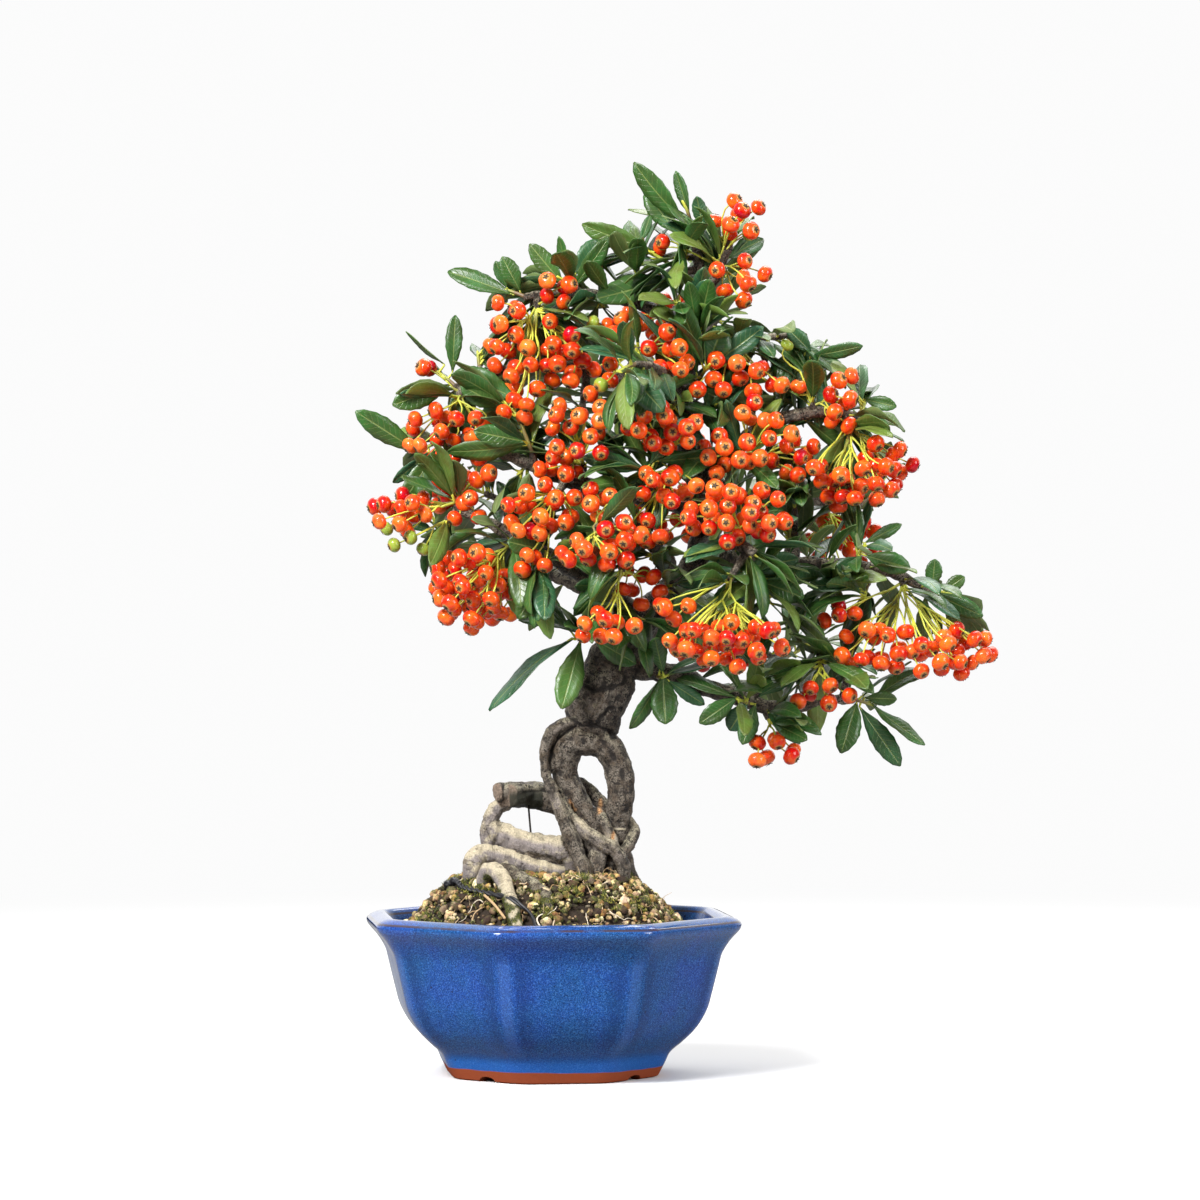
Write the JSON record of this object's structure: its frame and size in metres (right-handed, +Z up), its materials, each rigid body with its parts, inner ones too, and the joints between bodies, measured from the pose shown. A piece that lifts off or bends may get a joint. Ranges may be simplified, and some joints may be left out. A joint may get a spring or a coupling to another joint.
{
  "type": "pyracantha bonsai",
  "caption": "Small pyracantha tree with exposed twining roots, leathery leaves and bunches of orange-red berries, in an eight-sided blue glazed pot.",
  "frame": {"origin": "middle of the bottom of the whole object's box, on the surface that the pot stands on", "axes": "+Z up, -Y towards the front that the picture shows, +X to the right as seen from the front"},
  "size_m": [0.2574, 0.1958, 0.3615],
  "materials": {
    "glaze": "mottled cobalt blue glaze over terracotta, with an unglazed foot",
    "mesh": "matt black",
    "bark": "grey-brown bark, paler on the lowest roots",
    "soil": "coarse tan granules with moss",
    "wire": "matt black",
    "leaf": "leathery dark green, glossier above than below",
    "berry": "glossy orange-red skin",
    "unripe": "glossy yellow-green skin"
  },
  "bodies": {
    "root": {"berries_back_high": "berry", "berries_back_left": "berry", "berries_back_low": "berry", "berries_back_mid": "berry", "berries_back_right": "berry", "berries_back_top": "berry", "berries_centre_right": "berry", "berries_crown": "berry", "berries_far_right": "berry", "berries_front_centre": "berry", "berries_front_left": "berry", "berries_front_mid": "berry", "berries_front_right": "berry", "berries_high_left": "berry", "berries_high_right": "berry", "berries_left": "berry", "berries_left_back": "berry", "berries_left_unripe": "unripe", "berries_low_left": "berry", "berries_low_mid": "berry", "berries_low_right": "berry", "berries_mid_left": "berry", "berries_right": "berry", "berries_skirt_mid": "berry", "berries_skirt_right": "berry", "berries_top_left": "berry", "berries_upper_mid": "berry", "berries_upper_right": "berry", "drain_mesh": "mesh", "guy_wire": "wire", "leaves_apex": "leaf", "leaves_back_high": "leaf", "leaves_back_left": "leaf", "leaves_back_low": "leaf", "leaves_back_mid": "leaf", "leaves_back_right": "leaf", "leaves_back_top": "leaf", "leaves_centre": "leaf", "leaves_crown_left": "leaf", "leaves_far_right": "leaf", "leaves_front_high": "leaf", "leaves_high_left": "leaf", "leaves_high_left_inner": "leaf", "leaves_high_right": "leaf", "leaves_left": "leaf", "leaves_low_left": "leaf", "leaves_low_right": "leaf", "leaves_mid_right": "leaf", "leaves_right": "leaf", "leaves_right_edge": "leaf", "leaves_skirt_left": "leaf", "leaves_skirt_mid": "leaf", "leaves_skirt_right": "leaf", "leaves_top_left": "leaf", "leaves_top_mid": "leaf", "leaves_upper_mid": "leaf", "pot": "glaze", "soil": "soil", "tie_wire": "wire", "tree": "bark"}
  },
  "joints": []
}
